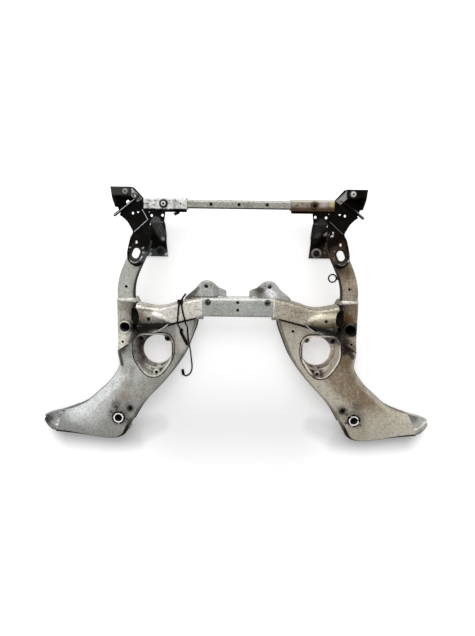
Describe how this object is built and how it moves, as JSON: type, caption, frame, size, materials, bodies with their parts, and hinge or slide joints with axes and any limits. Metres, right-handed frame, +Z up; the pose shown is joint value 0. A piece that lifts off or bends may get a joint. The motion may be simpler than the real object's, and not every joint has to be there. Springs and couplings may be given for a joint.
{
  "type": "car front subframe",
  "caption": "Welded light-alloy front axle carrier of a car, with boot-shaped rear legs, mount pockets, arm sockets and black steel front brackets joined by a crossbar.",
  "frame": {"origin": "middle of the part's box, on the floor that it lies on", "axes": "+X to the car's right, along the longest side, +Y to the car's front, +Z up"},
  "size_m": [1.1192, 0.6974, 0.172],
  "materials": {
    "alloy": "weathered, matt, with grime",
    "pocket": "stained, matt",
    "black_steel": "worn black coating",
    "bare_steel": "bare, satin",
    "bar": "satin, stained",
    "fastener": "dull plating",
    "cable": "matt"
  },
  "bodies": {
    "root": {"center_crossmember": "alloy", "center_bush_left": "alloy", "center_bush_right": "alloy", "shoulder_left": "alloy", "shoulder_right": "alloy", "arm_socket_left": "alloy", "arm_socket_right": "alloy", "pivot_housing_left": "alloy", "pivot_housing_right": "alloy", "pivot_boss_left": "alloy", "pivot_boss_right": "alloy", "front_arm_left": "alloy", "front_arm_right": "alloy", "boot_upper_left": "alloy", "boot_upper_right": "alloy", "boot_lower_left": "alloy", "boot_lower_right": "alloy", "boot_end_left": "alloy", "boot_end_right": "alloy", "mount_pocket_left": "pocket", "mount_pocket_right": "pocket", "body_sleeve_left": "alloy", "body_sleeve_right": "alloy", "crush_ring_left": "bare_steel", "crush_ring_right": "bare_steel", "rack_lug_left": "alloy", "rack_lug_right": "alloy", "bracket_plate_left": "black_steel", "bracket_plate_right": "black_steel", "gusset_left": "black_steel", "gusset_right": "black_steel", "ear_box_left": "black_steel", "ear_box_right": "black_steel", "ear_brace_left": "bare_steel", "ear_brace_right": "bare_steel", "finger_left": "black_steel", "finger_right": "black_steel", "front_leg_left": "black_steel", "front_leg_right": "black_steel", "bar_cradle_left": "black_steel", "bar_cradle_right": "black_steel", "crossbar": "bar", "bar_sleeve_left": "bare_steel", "bar_sleeve_right": "bare_steel", "ear_nut_left": "fastener", "ear_nut_right": "fastener", "bar_bolt_left": "fastener", "bar_bolt_right": "fastener", "foot_bolt_left": "fastener", "foot_bolt_right": "fastener", "cradle_bolt": "fastener", "wire_ring": "bare_steel", "cable_clip": "cable", "cable_short": "cable", "cable_short_sleeve": "cable", "cable_long": "cable", "cable_plug": "cable"}
  },
  "joints": []
}
